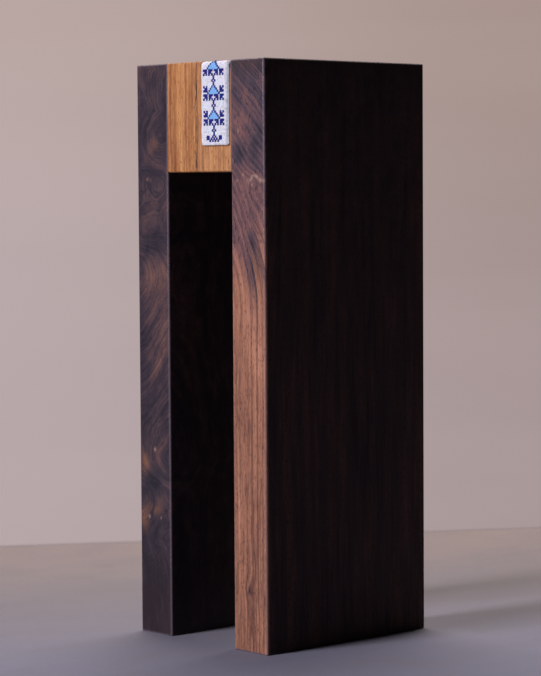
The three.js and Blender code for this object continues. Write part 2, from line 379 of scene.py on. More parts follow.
def rings(weave, flow, place, ring, ripple=0.35):
    """The place in a growth ring, 0 to 1, and a random value for each ring."""
    wave = weave.noise(place, (6, 6, 40))
    count = weave.weigh((flow, 1 / ring), (wave, ripple))
    whole = {"W": weave.math("FLOOR", count)}
    season = weave.make("ShaderNodeTexWhiteNoise", whole, noise_dimensions="1D")
    return weave.math("FRACT", count), season


def streaks(weave, grain, wide, long, detail=2, rough=0.55):
    """Streaks of a given width and length in mm that follow the grain."""
    return weave.noise(grain, (wide, wide * 1.3, long), detail, rough)


def arris_glow(weave, place, name):
    """1 on the eased edges of the named board, 0 on its faces."""
    low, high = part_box(name)
    near = []
    for axis, along in enumerate(weave.split(place)):
        middle, half = (low[axis] + high[axis]) / 2 / MM, (high[axis] - low[axis]) / 2 / MM
        away = weave.math("ABSOLUTE", weave.less(along, middle))
        near.append(weave.step(away, half - 1.25, half - 0.35))
    pairs = [weave.times(near[a], near[b]) for a, b in ((0, 1), (1, 2), (0, 2))]
    return weave.math("MINIMUM", weave.total(*pairs), 1)


def spots(weave, x, z, places, tilt=0.0):
    """A sum of soft patches on a front face; `tilt` is how far they rise for each mm across."""
    patches = []
    for place_x, place_z, wide, tall, strength in places:
        away = weave.less(x, place_x)
        rise = weave.less(weave.less(z, place_z), weave.times(away, tilt))
        patches.append((weave.times(weave.bell(away, 0, wide), weave.bell(rise, 0, tall)), strength))
    return weave.weigh(*patches)


def oiled(weave, place, name, look, body, height, depth, fine, dull=0.0):
    """Oiled wood: edges that handling has rubbed smoother than the faces, and lighter in a tone that
    is partly rubbed wear and partly a painted highlight.
    """
    glow = arris_glow(weave, place, name)
    # Painted highlight along the eased edges, on top of their rubbed wear.
    body = weave.mix(weave.times(glow, RUBBED_HIGHLIGHT), body, look.rubbed_edge_highlight)
    rough = weave.total(weave.step(fine, 0.3, 0.7, SATIN, SATIN + 0.12), dull)
    rough = weave.less(rough, weave.times(glow, SATIN * 0.45))
    return weave.surface(body, rough, height, depth, OIL_SHINE)


def left_walnut(look):
    """The left post: restless dark heartwood with burrs, warm streaks and a sweeping dark band."""
    weave = Finish("walnut_left_post")
    place = weave.place()
    x, y, z = weave.split(place)
    front = weave.step(y, -24, -50)
    swirl = weave.less(weave.noise(place, (19, 40, 30), 3), 0.5)
    whirl = weave.less(weave.noise(place, (8, 16, 9)), 0.5)
    sweep = weave.times(weave.step(z, 66, 110), weave.step(z, 222, 180))
    lean = weave.times(sweep, weave.less(z, 150), -0.62)
    steady = weave.times(weave.step(z, 108, 124), weave.step(z, 214, 200))
    stir = weave.times(swirl, weave.step(steady, 0, 1, 20, 5))
    curl = weave.times(whirl, weave.step(steady, 0, 1, 5, 1.5))
    calm = weave.times(weave.step(front, 0, 1, 0.25, 1), weave.step(z, 20, 60, 0.4, 1))
    swerve = spots(weave, x, z, LEFT_SWERVES)
    bend = weave.times(weave.total(lean, swerve, stir, curl), calm)
    flow = grain_flow(weave, place, (-120, 30), bend, 10)
    share, _ = rings(weave, flow, place, look.walnut_ring / MM * 1.3)
    grain = weave.join(flow, y, z)
    coarse = streaks(weave, grain, 7, 50)
    medium = streaks(weave, grain, 2.4, 22)
    fine = streaks(weave, grain, 0.8, 9, *FINE_GRAIN)
    pores = weave.step(streaks(weave, grain, 0.4, 3.2, 1), 0.6, 0.72)
    cloud = weave.noise(place, (6, 9, 8), 3, 0.6)
    patches = spots(weave, x, z, LEFT_MOODS, 0.45)
    mood = weave.weigh((coarse, 0.34), (medium, 0.16), (cloud, 0.22), (fine, 0.28), (patches, front))
    body = weave.ramp(
        mood,
        (0.37, look.walnut_deep_cool_sheen),
        (0.49, look.walnut_heart_cool_sheen),
        (0.61, look.walnut_warm),
        (0.78, look.walnut_ember),
    )
    line = weave.step(share, 0.55, 0.96)
    body = weave.mix(weave.times(line, 0.22), body, look.walnut_deep_cool_sheen)
    # Painted orange glints on the burrs.
    glint_mask = weave.times(spots(weave, x, z, LEFT_GLINTS), front, weave.step(medium, 0.36, 0.56), 0.6)
    body = weave.mix(glint_mask, body, look.painted_glint)
    pins = spots(weave, x, z, LEFT_PINS)
    body = weave.mix(weave.times(pins, front, 0.7), body, look.pin_knot)
    body = weave.mix(weave.times(pores, 0.55), body, look.walnut_deep_cool_sheen)
    body = weave.mix(weave.step(z, 58, 14, 0, 0.5), body, look.walnut_foot)
    height = weave.weigh((fine, 0.5), (pores, -1), (line, -0.25))
    return oiled(weave, place, "left_post", look, body, height, 0.00005, fine)


def dark_top(look, weave, place, share, season, coarse, medium, fine):
    """The dark, rose-brown heart of the right post's upper half."""
    x, y, z = weave.split(place)
    front = weave.step(y, -44, -55)
    cloud = weave.noise(place, (7, 9, 11), 3, 0.6)
    band = weave.less(weave.step(share, 0, 0.5), weave.step(share, 0.5, 1))
    mood = weave.total(
        weave.times(coarse, weave.step(z, 215, 262, 0.42, 0.26)),
        weave.step(z, 215, 262, 0, 0.08),
        weave.times(weave.step(z, 150, 230, 0.26, 0), medium),
        weave.times(weave.step(z, 150, 230, 0, 0.26), cloud),
        weave.weigh((fine, 0.26), (season, 0.06)),
        weave.times(band, weave.step(z, 288, 236, 0.02, 0.066), weave.step(y, -50, -56, 0.3, 1)),
        weave.step(z, 258, 292, -0.02, -0.04),
        weave.times(spots(weave, x, z, RIGHT_DARK_MOODS), front),
    )
    return weave.ramp(
        mood,
        (0.33, look.walnut_deep_cool_sheen),
        (0.44, shade(look.walnut_heart_cool_sheen, 1.5)),
        (0.56, look.walnut_plum),
        (0.72, shade(look.walnut_plum, 1.7)),
    )


def light_foot(look, weave, place, flow, season, line, coarse, medium, fine):
    """The straight, light wood of the right post's lower half."""
    x, y, z = weave.split(place)
    patches = weave.times(spots(weave, x, z, RIGHT_LIGHT_MOODS), weave.step(y, -44, -55))
    mood = weave.total(weave.weigh((coarse, 0.32), (medium, 0.33), (fine, 0.35)), patches)
    rose = look.walnut_rose
    tone = weave.ramp(mood, (0.36, look.walnut_line), (0.47, shade(rose, 0.66)), (0.62, rose))
    strong = weave.times(line, weave.step(season, 0, 1, 0.3, 0.62))
    tone = weave.mix(strong, tone, look.walnut_line)
    share, season = rings(weave, flow, place, look.walnut_ring / MM * 0.62, 0.5)
    thin = weave.times(weave.step(share, 0.5, 0.85), weave.step(share, 1, 0.9))
    thin = weave.times(thin, weave.step(season, 0, 1, 0.12, 0.5), weave.step(z, 190, 120))
    return weave.mix(thin, tone, look.walnut_line)


def right_walnut(look):
    """The right post: a dark, sweeping top that clears into straight light walnut below."""
    weave = Finish("walnut_right_post")
    place = weave.place()
    x, y, z = weave.split(place)
    front = weave.step(y, -44, -55)
    face = weave.step(y, -55.4, -56.2)
    inside = weave.step(y, -55.6, -54.6)
    wander = weave.noise(place, (18, 26, 50), 1, 0.4)
    rise = weave.math("MAXIMUM", weave.less(z, 168), 0)
    lean = weave.times(rise, rise, front, 0.0044)
    stir = weave.times(weave.step(z, 150, 215), front, weave.less(wander, 0.5), 7)
    swerve = weave.times(spots(weave, x, z, RIGHT_SWERVES), front)
    flow = grain_flow(weave, place, (-95, 12), weave.total(lean, swerve, stir), 3.5)
    share, season = rings(weave, flow, place, look.walnut_ring / MM * 1.15, 0.6)
    grain = weave.join(flow, y, z)
    coarse = streaks(weave, grain, 5, 70)
    medium = streaks(weave, grain, 1.5, 26)
    fine = streaks(weave, grain, 0.6, 8, *FINE_GRAIN)
    pores = weave.step(streaks(weave, place, 0.5, 2.6, 1), 0.57, 0.68)
    line = weave.times(weave.step(share, 0.45, 0.8), weave.step(share, 1, 0.88))
    light = light_foot(look, weave, place, flow, season, line, coarse, medium, fine)
    dark = dark_top(look, weave, place, share, season, coarse, medium, fine)
    # The dark wood ends in tongues that follow the rings.
    tongue = weave.weigh((wander, 40), (season, 34), (medium, 40), (weave.step(share, 0.4, 0.95), 12))
    border = weave.total(z, tongue, -57)
    # The side faces take the dark top wood all the way down, then the darker side tone: partly
    # heartwood, partly painted shade.
    heart = weave.math("MAXIMUM", weave.step(border, 168, 222), inside)
    body = weave.mix(heart, light, dark)
    body = weave.mix(weave.times(inside, 0.62), body, look.walnut_shaded_side)
    # Darker towards the top of the post, in the side tone.
    crown = weave.step(weave.weigh((z, 1), (wander, 16)), 294, 310)
    body = weave.mix(weave.times(crown, 0.6), body, look.walnut_shaded_side)
    # A thin curl line and small flecks on the front face, lightened with a painted shine.
    bow = weave.times(weave.math("SINE", weave.times(x, 0.55)), 1.4)
    curl = weave.bell(weave.total(z, bow, weave.times(medium, 5)), 242.5, 0.9)
    curl = weave.times(curl, weave.step(x, 36, 40), face)
    shine_flecks = weave.times(spots(weave, x, z, RIGHT_SHINE_FLECKS), face)
    painted_shine = weave.times(weave.math("MAXIMUM", curl, shine_flecks), 0.55)
    body = weave.mix(painted_shine, body, look.walnut_curl_shine)
    knot = weave.times(spots(weave, x, z, RIGHT_KNOT), front, 0.85)
    body = weave.mix(knot, body, look.walnut_deep_cool_sheen)
    speck = weave.times(pores, weave.step(line, 0, 1, 0.6, 0.95))
    body = weave.mix(speck, body, weave.mix(heart, look.walnut_line, look.walnut_deep_cool_sheen))
    height = weave.weigh((fine, 0.5), (pores, -1), (line, -0.3))
    dull = weave.step(y, -56.6, -55.6, 0, 0.3)
    return oiled(weave, place, "right_post", look, body, height, 0.00006, fine, dull)


def honey_wood(look, name, pith, streak, pale=0.0, sideways=False):
    """The lintel's wood. `streak` is the x of a mineral streak, or None; `sideways` lays the
    grain along Y for the lid."""
    weave = Finish(name)
    place = weave.place()
    if sideways:
        x, y, z = weave.split(place)
        place = weave.join(x, z, y)
    x, y, z = weave.split(place)
    flow = grain_flow(weave, place, pith, 0.0, 3)
    share, season = rings(weave, flow, place, look.honey_ring / MM)
    grain = weave.join(flow, y, z)
    coarse = streaks(weave, grain, 3, 90)
    medium = streaks(weave, grain, 1, 30)
    fine = streaks(weave, grain, 0.45, 9, *FINE_GRAIN)
    pores = weave.step(streaks(weave, grain, 0.42, 2.6, 1), 0.57, 0.68)
    mood = weave.weigh((coarse, 0.3), (medium, 0.4), (fine, 0.3))
    body = weave.ramp(mood, (0.34, look.honey_line), (0.47, look.honey), (0.62, look.honey_light))
    body = weave.mix(pale, body, look.honey_pale)
    line = weave.times(weave.step(share, 0.4, 0.85), weave.step(share, 1, 0.92))
    body = weave.mix(weave.times(line, weave.step(season, 0.1, 1, 0.1, 0.58)), body, look.honey_line)
    if streak is not None:
        sway = weave.noise(place, (0, 0, 14))
        there = weave.bell(weave.weigh((x, 1), (sway, 1.6)), streak + 0.8, 1.5)
        swells = ((286, 9, 0.95), (247, 7, 0.76), (266, 10, 0.475))
        strong = weave.weigh(*((weave.bell(z, at, tall), much) for at, tall, much in swells))
        stain = weave.times(there, weave.total(strong, 0.475), weave.step(fine, 0.66, 0.4))
        body = weave.mix(stain, body, look.honey_streak)
    body = weave.mix(weave.times(pores, 0.6), body, look.honey_line)
    height = weave.weigh((fine, 0.4), (pores, -1), (line, -0.3))
    rough = weave.step(fine, 0.3, 0.7, 0.42, 0.56)
    return weave.surface(body, rough, height, 0.00006, 0.3)


def dowel_wood(look):
    """Bare beech with its grain along the dowel, which lies along X."""
    weave = Finish("dowel_beech")
    place = weave.place()
    fleck = weave.noise(place, (2.86, 0.385, 0.385))
    pores = weave.noise(place, (10, 1 / 6, 1 / 6))
    darker = shade(look.dowel, 0.66)
    tone = weave.mix(weave.step(fleck, 0.4, 0.7), look.dowel, darker)
    tone = weave.mix(weave.step(pores, 0.6, 0.75, 0, 0.4), tone, darker)
    return weave.surface(tone, 0.7, pores, 0.00004)


# ---- Linen, thread, card ------------------------------------------------------------------


def linen_cloth(look):
    """Plain-woven linen. Its UV map runs in millimetres across and along the cloth."""
    weave = Finish("bleached_linen")
    flat = weave.make("ShaderNodeUVMap", uv_map="weave")
    pitch = look.yarn / MM
    u, v, _ = weave.split(flat)
    yarns = []
    for along, over, sign in ((u, v, 0.5), (v, u, -0.5)):
        crown = weave.math("ABSOLUTE", weave.math("SINE", weave.times(along, math.pi / pitch)))
        count = weave.math("FLOOR", weave.times(along, 1 / pitch))
        lift = weave.math("SINE", weave.weigh((over, math.pi / pitch), (count, math.pi)))
        yarns.append(weave.times(crown, weave.math("MULTIPLY_ADD", lift, sign, 0.6)))
    relief = weave.math("MAXIMUM", *yarns)
    thick = [
        weave.step(weave.noise(flat, size, 1), 0.55, 0.8)
        for size in ((pitch, 20, 0), (20, pitch, 0))
    ]
    slub = weave.math("MAXIMUM", *thick)
    cell = weave.vector("FLOOR", weave.vector("MULTIPLY", flat, (0.5 / pitch, 0.5 / pitch, 0)))
    knot = weave.make("ShaderNodeTexWhiteNoise", {"Vector": cell}, noise_dimensions="2D")
    uneven = weave.math("MAXIMUM", slub, weave.step(knot, 0.45, 1))
    tone = weave.mix(weave.times(uneven, 0.75), look.linen, look.slub)
    # Painted shade in the hollows between the yarns.
    tone = weave.mix(weave.step(relief, 0.45, 0.1, 0, 0.5), tone, shade(look.slub, 0.72))
    return weave.surface(
        tone,
        0.9,
        weave.weigh((relief, 1), (slub, 0.3)),
        0.00022,
        sheen_weight=0.2,
        sheen_roughness=0.5,
        subsurface_weight=0.6,
        subsurface_radius=(1.0, 0.55, 0.36),
        subsurface_scale=0.0028,
    )


def floss_thread(name, tone):
    """Stranded cotton: fine twisted filaments along each laid thread, and a soft lustre."""
    weave = Finish(name)
    place = weave.place()
    strand = weave.noise(place, (0.2, 0.2, 0.2), 2, 0.6)
    body = weave.mix(weave.step(strand, 0.4, 0.65), shade(tone, 0.75), tone)
    return weave.surface(body, 0.6, strand, 0.00006, 0.22, sheen_weight=0.04)


def card_board(look):
    weave = Finish("stiffener_card")
    place = weave.place()
    pulp = weave.noise(place, (1.3, 1.3, 1.3), 4, 0.7)
    fibre = weave.noise(place, (1 / 3, 1 / 3, 1.25), 3)
    tone = weave.mix(weave.step(pulp, 0.3, 0.7), shade(look.card, 0.75), look.card)
    return weave.surface(tone, 0.88, weave.total(pulp, fibre), 0.00005)


# ---- The linen cover ----------------------------------------------------------------------


class CoverPath:
    """The middle line of the cover's outer face, from the front hem over the top to the back."""

    def __init__(self, look):
        low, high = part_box("linen_cover")
        lid_low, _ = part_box("lid_board")
        # The cloth hangs a little to the right of its board.
        self.left, self.right = low.x - 0.05 * MM, high.x + 0.5 * MM
        self.middle = (low.x + high.x) / 2 + 0.1 * MM
        self.bottom, self.under = low.z, lid_low.z
        self.face = high.y - look.relief
        self.top = high.z - look.relief
        self.fold = 2.6 * MM
        self.rounds, self.hem_round = (0.9 * MM, 1.45 * MM), 0.8 * MM
        self.back_of_flap = high.y - 2.05 * MM
        self.rise = self.top - self.fold - self.bottom
        self.turn = self.fold * RIGHT_ANGLE
        self.flat = (self.face - self.fold) * 2
        self.whole = (self.rise + self.turn) * 2 + self.flat
        self.hem = 5 * MM
        hems = (self.hem + 2 * MM) * 2  # each hem is turned under, and its fold takes 2 mm more
        self.cut = (self.right - self.left + hems, self.whole + hems)

    def at(self, along):
        """The point (y, z) at a distance along the cloth from its front edge, and the outward
        direction there."""
        if along > self.whole / 2:
            (y, z), (out_y, out_z) = self.at(self.whole - along)
            return (-y, z), (-out_y, out_z)
        if along <= self.rise:
            return (-self.face, self.bottom + along), (-1.0, 0.0)
        if along < self.rise + self.turn:
            angle = (along - self.rise) / self.fold
            out = (-math.cos(angle), math.sin(angle))
            y = -self.face + self.fold + out[0] * self.fold
            return (y, self.top - self.fold + out[1] * self.fold), out
        return (-self.face + self.fold + along - self.rise - self.turn, self.top), (0.0, 1.0)

    def slack(self, x, along):
        """How far the cloth stands off its board: the slight unevenness of a wrapped linen."""
        u, s = (x - self.middle) / MM, along / MM
        return MM * 0.05 * (
            math.sin(u * 0.55 + 0.7) * math.sin(s * 0.31 + 0.4)
            + math.sin(u * 0.9 - s * 0.22) * 0.7
            - 1.2
        )

    def waver(self, along, side):
        """Sideways unevenness of a folded edge."""
        s = along / MM
        return MM * 0.09 * (math.sin(s * 0.47 + side) + 0.6 * math.sin(s * 1.13 + 2 * side))

    def point(self, x, along, lift=0.0):
        (y, z), (out_y, out_z) = self.at(along)
        off = self.slack(x, along) + lift
        return Vector((x, y + out_y * off, z + out_z * off))

    def soft_point(self, x, along):
        """A point of the cloth, rounded over where it nears a side fold or a hem."""
        on_left = x < self.middle
        round_off = self.rounds[0 if on_left else 1]
        side = x - self.left if on_left else self.right - x
        hem = min(along, self.whole - along)
        near_side = max(0.0, 1 - side / round_off)
        near_hem = max(0.0, 1 - hem / self.hem_round)
        reach = math.hypot(near_side, near_hem)
        if reach > 1:
            x += (1 if on_left else -1) * near_side * (1 - 1 / reach) * round_off
            shift = near_hem * (1 - 1 / reach) * self.hem_round
            along += shift if along < self.whole / 2 else -shift
            reach = 1
        total = near_side + near_hem + 1e-9
        radius = (round_off * near_side + self.hem_round * near_hem) / total
        sink = radius * (1 - math.sqrt(max(0.0, 1 - reach * reach)))
        if not on_left:
            sink = 0.35 * sink + 0.65 * radius * reach**1.25
        x += self.waver(along, 1 if on_left else 2.3) * min(1.0, near_side * 1.5)
        return self.point(x, along, -sink)


def finished_mesh(name, made):
    mesh = bpy.data.meshes.new(name)
    made.to_mesh(mesh)
    made.free()
    return mesh


def link(piece):
    bpy.context.scene.collection.objects.link(piece)
    return piece


def add_mesh(name, mesh, body, smooth=40):
    """A finished piece: smooth where its faces meet gently, riding on a CAD body."""
    piece = link(bpy.data.objects.new(name, mesh))
    mesh.set_sharp_from_angle(angle=math.radians(smooth))
    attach(piece, body)
    return piece


def add_sheet(name, made, body, material, thickness, node, smooth=40):
    """A sheet with its thickness inwards of its outer face, in the place of a CAD node."""
    mesh = finished_mesh(name, made)
    mesh.materials.append(material)
    piece = add_mesh(name, mesh, body, smooth)
    thick = piece.modifiers.new("Thickness", "SOLIDIFY")
    thick.thickness = thickness
    thick.offset = -1
    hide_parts(node)


def strip(made, layer, rows, uvs):
    """Adds a grid of faces through rows of points, with the UVs that go with them."""
    verts = [[made.verts.new(point) for point in row] for row in rows]
    for i in range(len(rows) - 1):
        for j in range(len(rows[0]) - 1):
            corners = ((i, j), (i, j + 1), (i + 1, j + 1), (i + 1, j))
            face = made.faces.new([verts[a][b] for a, b in corners])
            face.smooth = True
            for loop, (a, b) in zip(face.loops, corners):
                loop[layer].uv = uvs[a][b]


def spread(start, end, step, least=1):
    """Even steps from start up to, and not including, end."""
    pieces = max(least, round((end - start) / step))
    return [start + (end - start) * i / pieces for i in range(pieces)]


def wrapped_linen(look):
    """The wrapped linen as one sheet: face, sides, hems turned in behind the flaps."""
    path = CoverPath(look)
    left, right = path.left, path.right
    width = right - left
    hem = path.hem
    step = 0.8 * MM
    curl = [1 - math.cos(i / 6 * math.pi / 2) for i in range(6)]
    half = [path.hem_round * share for share in curl]
    under = path.under - path.bottom
    half += spread(path.hem_round, under, step)
    half += spread(under, path.rise, step)
    half += spread(path.rise, path.rise + path.turn, step, 8)
    half += spread(path.rise + path.turn, path.whole / 2, step)
    stations = half + [path.whole / 2] + [path.whole - along for along in reversed(half)]
    near, far = path.rounds
    offsets = [near * share for share in curl] + spread(near, width - far, step)
    offsets += [width - far] + [width - far * share for share in reversed(curl)]
    made = bmesh.new()
    layer = made.loops.layers.uv.new("weave")
    face = [[path.soft_point(left + u, s) for u in offsets] for s in stations]
    flat = [[(u / MM, s / MM) for u in offsets] for s in stations]
    strip(made, layer, face, flat)

    def inner(point):
        """Where the side of the cloth meets the underside of the lid or the back of a flap."""
        sign = -1 if point.y < 0 else 1
        if point.z < path.under:
            return Vector((point.x, sign * path.back_of_flap, point.z))
        y = max(-path.back_of_flap, min(path.back_of_flap, point.y))
        return Vector((point.x, y, path.under))

    def fold_in(border, places, ends, sideways, count):
        """A strip from a border of the face to the given end points."""
        rows, uvs = [], []
        for point, (u, v), end in zip(border, places, ends):
            depth = (end - point).length / MM
            shares = [k / count for k in range(count + 1)]
            rows.append([point.lerp(end, share) for share in shares])
            move_u, move_v = sideways
            uvs.append([(u + move_u * depth * k, v + move_v * depth * k) for k in shares])
        strip(made, layer, rows, uvs)

    for end, inward in ((0, 1), (-1, -1)):
        border = [row[end] for row in face]
        places = [row[end] for row in flat]
        ends = [inner(point) for point in border]
        fold_in(border, places, ends, (-inward, 0), 3)
        for sign in (-1, 1):
            flap = [i for i, p in enumerate(ends) if p.z < path.under - 1e-6 and p.y * sign > 0]
            starts = [ends[i] for i in flap]
            reach = [Vector((left + hem if inward > 0 else right - hem, p.y, p.z)) for p in starts]
            back = [(places[i][0] - inward * 3, places[i][1]) for i in flap]
            fold_in(starts, back, reach, (-inward, 0), 4)
    for end, inward in ((0, 1), (-1, -1)):
        border, places = face[end], flat[end]
        ends = [Vector((p.x, math.copysign(path.back_of_flap, p.y), p.z)) for p in border]
        fold_in(border, places, ends, (0, -inward), 2)
        keep = [i for i, p in enumerate(ends) if left + hem <= p.x <= right - hem]
        starts = [ends[i] for i in keep]
        reach = [p + Vector((0, 0, hem)) for p in starts]
        back = [(places[i][0], places[i][1] - inward * 3) for i in keep]
        fold_in(starts, back, reach, (0, -inward), 4)
    bmesh.ops.remove_doubles(made, verts=made.verts, dist=0.015 * MM)
    bmesh.ops.recalc_face_normals(made, faces=made.faces)
    top = max(made.faces, key=lambda item: item.calc_center_median().z)
    if top.normal.z < 0:
        bmesh.ops.reverse_faces(made, faces=made.faces)
    return made


class CASE_OT_linen(bpy.types.Operator):
    """Wrap the linen round the lid and the stiffeners"""

    bl_idname = "case.linen"
    bl_label = "Linen Cover"

    def execute(self, context):
        look = context.scene.case_cover
        made, cloth = wrapped_linen(look), linen_cloth(look)
        add_sheet("linen_cloth", made, "cover", cloth, look.cloth, "linen_cover", 55)
        return {"FINISHED"}


# ---- Embroidery ---------------------------------------------------------------------------

LEAF = ("XXX", ".XX", "X.X")  # a leaf that leans right, top row first
TIER_ROWS = 12  # rows from one triangle's base to the next
TIERS = 3
LEAN = 0.013  # the strip was cut a little off the line of the stitches
BASE_HEIGHT = 13.3 * MM  # the lowest triangle's base above the hem
THREAD_FLATNESS = 0.62  # a laid thread's height over its width


def leaf(chart, middle, top, leans, upside_down=False):
    """A three-by-three leaf; `leans` is 1 to the right and -1 to the left."""
    for down, cells in enumerate(reversed(LEAF) if upside_down else LEAF):
        for across, cell in enumerate(cells):
            if cell == "X":
                chart[(middle + (across - 1) * leans, top - down)] = "navy"


def tree_chart():
    """The counted pattern: columns from the middle, rows up from the lowest triangle's base."""
    chart = {}
    for tier in range(TIERS):
        base = tier * TIER_ROWS
        for step in range(5):
            half = 4 - step
            for column in range(-half, half + 1):
                chart[(column, base + step)] = "navy" if abs(column) == half else "blue"
        for middle, leans in ((-6, 1), (-2, -1), (2, 1), (6, -1)):
            leaf(chart, middle, base - 1, leans)
        if tier < TIERS - 1:
            leaf(chart, -6, base + 3, 1, upside_down=True)
            leaf(chart, 6, base + 3, -1, upside_down=True)
        for column, row in ((0, -4), (0, -5), (-1, -6), (1, -6), (0, -7)):
            chart[(column, base + row)] = "navy"
    for row, columns in ((-8, (0,)), (-9, (1, 4, 5)), (-10, (0, 2, 4, 5)), (-11, (1, 3))):
        for column in columns:
            chart[(column, row)] = chart[(-column, row)] = "navy"
    return chart


def crest_chart(rows):
    """The stem that runs over the top between the two trees: single stitches and small pairs."""
    chart = {}
    for row in range(rows):
        for column in (-1, 1) if row % 6 == 3 else (0,):
            chart[(column, row)] = "navy"
    return chart


def stitch_points(look):
    """Every stitch as (point, outward direction, thread)."""
    path = CoverPath(look)
    pitch = look.stitch
    placed = []

    def place(column, along, thread, mirrored):
        s = path.whole - along if mirrored else along
        x = path.middle + column * pitch + (path.rise / 2 - min(along, path.rise)) * LEAN
        _, (out_y, out_z) = path.at(s)
        placed.append((path.point(x, s), Vector((0, out_y, out_z)), thread))

    for mirrored in (False, True):
        for (column, row), thread in sorted(tree_chart().items()):
            place(column, BASE_HEIGHT + (row + 0.5) * pitch, thread, mirrored)
    top_row = (TIERS - 1) * TIER_ROWS + 4
    start = BASE_HEIGHT + (top_row + 2) * pitch
    rows = int((path.whole / 2 - start) / pitch)
    for (column, row), thread in sorted(crest_chart(rows).items()):
        for mirrored in (False, True):
            place(column, start + (row + 0.5) * pitch, thread, mirrored)
    return placed


def stitch_tree(material):
    """Geometry nodes: lays one cross of two crowned threads on every point."""
    tree = bpy.data.node_groups.new("Cross stitches", "GeometryNodeTree")
    face = tree.interface
    face.new_socket("Geometry", in_out="OUTPUT", socket_type="NodeSocketGeometry")
    face.new_socket("Points", in_out="INPUT", socket_type="NodeSocketGeometry")
    for name, value in (("Pitch", 0.00105), ("Thread Width", 0.00042), ("Height", 0.0002)):
        socket = face.new_socket(name, in_out="INPUT", socket_type="NodeSocketFloat")
        socket.default_value = value
        socket.subtype = "DISTANCE"
    face.new_socket("Seed", in_out="INPUT", socket_type="NodeSocketInt").default_value = 4
    weave = Weave(tree)
    make = weave.make
    given = make("NodeGroupInput").node.outputs
    reach = weave.times(given["Pitch"], 0.56)
    circle = {"Resolution": 6, "Radius": weave.times(given["Thread Width"], 0.5)}
    thread = make("GeometryNodeCurvePrimitiveCircle", circle)

    def arm(turn, lift):
        """One laid thread: a crowned arch from corner to corner of the stitch."""
        line = {"Resolution": 5, "Start": weave.join(weave.times(reach, -1), 0, 0)}
        line["Middle"] = weave.join(0, 0, weave.times(given["Height"], 1.7 + lift))
        line["End"] = weave.join(reach, 0, 0)
        tube = {"Curve": make("GeometryNodeCurveQuadraticBezier", line)}
        tube |= {"Profile Curve": thread, "Fill Caps": True}
        laid = {"Geometry": make("GeometryNodeCurveToMesh", tube)}
        laid |= {"Scale": (1, 1, THREAD_FLATNESS), "Rotation": (0, 0, turn)}
        return make("GeometryNodeTransform", laid)

    def random(low, high, seed):
        return make("FunctionNodeRandomValue", {2: low, 3: high, "Seed": seed}, 1, data_type="FLOAT")

    cross = make("GeometryNodeJoinGeometry")
    for turn, lift in ((-RIGHT_ANGLE / 2, 0.0), (RIGHT_ANGLE / 2, 0.5)):
        weave.give(cross.node.inputs[0], arm(turn, lift))
    named = {"Name": "outward"}
    out = make("GeometryNodeInputNamedAttribute", named, "Attribute", data_type="FLOAT_VECTOR")
    up = make("FunctionNodeAlignRotationToVector", {"Vector": out}, axis="Z", pivot_axis="X")
    sway = {"Axis": (0, 0, 1), "Angle": random(-0.09, 0.09, given["Seed"])}
    spin = make("FunctionNodeAxisAngleToRotation", sway)
    turned = make("FunctionNodeRotateRotation", {0: up, 1: spin}, rotation_space="LOCAL")
    lay = {"Points": given["Points"], "Instance": cross, "Rotation": turned}
    lay["Scale"] = random(0.93, 1.05, weave.total(given["Seed"], 1))
    real = make("GeometryNodeRealizeInstances", {0: make("GeometryNodeInstanceOnPoints", lay)})
    dressed = make("GeometryNodeSetMaterial", {"Geometry": real, "Material": material})
    weave.give(tree.nodes.new("NodeGroupOutput").inputs[0], dressed)
    return tree


def grown_mesh(name, seeds, tree, inputs):
    """Runs a geometry-nodes tree on a mesh and returns its result as a plain mesh."""
    carrier = link(bpy.data.objects.new(f"{name}_points", seeds))
    modifier = carrier.modifiers.new(tree.name, "NODES")
    modifier.node_group = tree
    for item in tree.interface.items_tree:
        if item.item_type == "SOCKET" and item.in_out == "INPUT" and item.name in inputs:
            modifier[item.identifier] = inputs[item.name]
    graph = bpy.context.evaluated_depsgraph_get()
    mesh = bpy.data.meshes.new_from_object(carrier.evaluated_get(graph))
    mesh.name = name
    carrier.modifiers.clear()
    bpy.data.objects.remove(carrier)
    return mesh


class CASE_OT_embroidery(bpy.types.Operator):
    """Lay the cross-stitches on the linen"""

    bl_idname = "case.embroidery"
    bl_label = "Embroidery"

    def execute(self, context):
        look = context.scene.case_cover
        placed = stitch_points(look)
        inputs = {"Pitch": look.stitch, "Thread Width": look.floss, "Seed": 4}
        for thread, tone in (("navy", look.navy), ("blue", look.blue)):
            mine = [(point, out) for point, out, kind in placed if kind == thread]
            seeds = bpy.data.meshes.new(f"{thread}_points")
            seeds.from_pydata([point for point, _ in mine], [], [])
            outward = seeds.attributes.new("outward", "FLOAT_VECTOR", "POINT")
            outward.data.foreach_set("vector", [value for _, out in mine for value in out])
            tree = stitch_tree(floss_thread(f"{thread}_floss", tone))
            mesh = grown_mesh(f"{thread}_stitches", seeds, tree, inputs)
            add_mesh(f"{thread}_stitches", mesh, "cover", 60)
        return {"FINISHED"}


# ---- Wooden pieces ------------------------------------------------------------------------


class CASE_OT_posts(bpy.types.Operator):
    """Give the two posts their walnut"""

    bl_idname = "case.posts"
    bl_label = "Walnut Posts"

    def execute(self, context):
        look = context.scene.case_wood
        paint_node("left_post", left_walnut(look))
        paint_node("right_post", right_walnut(look))
        return {"FINISHED"}


class CASE_OT_lintel(bpy.types.Operator):
    """Give the two lintel boards and the lid their pale wood"""

    bl_idname = "case.lintel"
    bl_label = "Lintel and Lid"

    def execute(self, context):
        look = context.scene.case_wood
        paint_node("left_lintel", honey_wood(look, "honey_left_board", (-90, 25), -1.6))
        paint_node("right_lintel", honey_wood(look, "honey_right_board", (70, -160), None, 0.2))
        paint_node("lid_board", honey_wood(look, "honey_lid", (14, 200), None, 0.15, True))
        return {"FINISHED"}


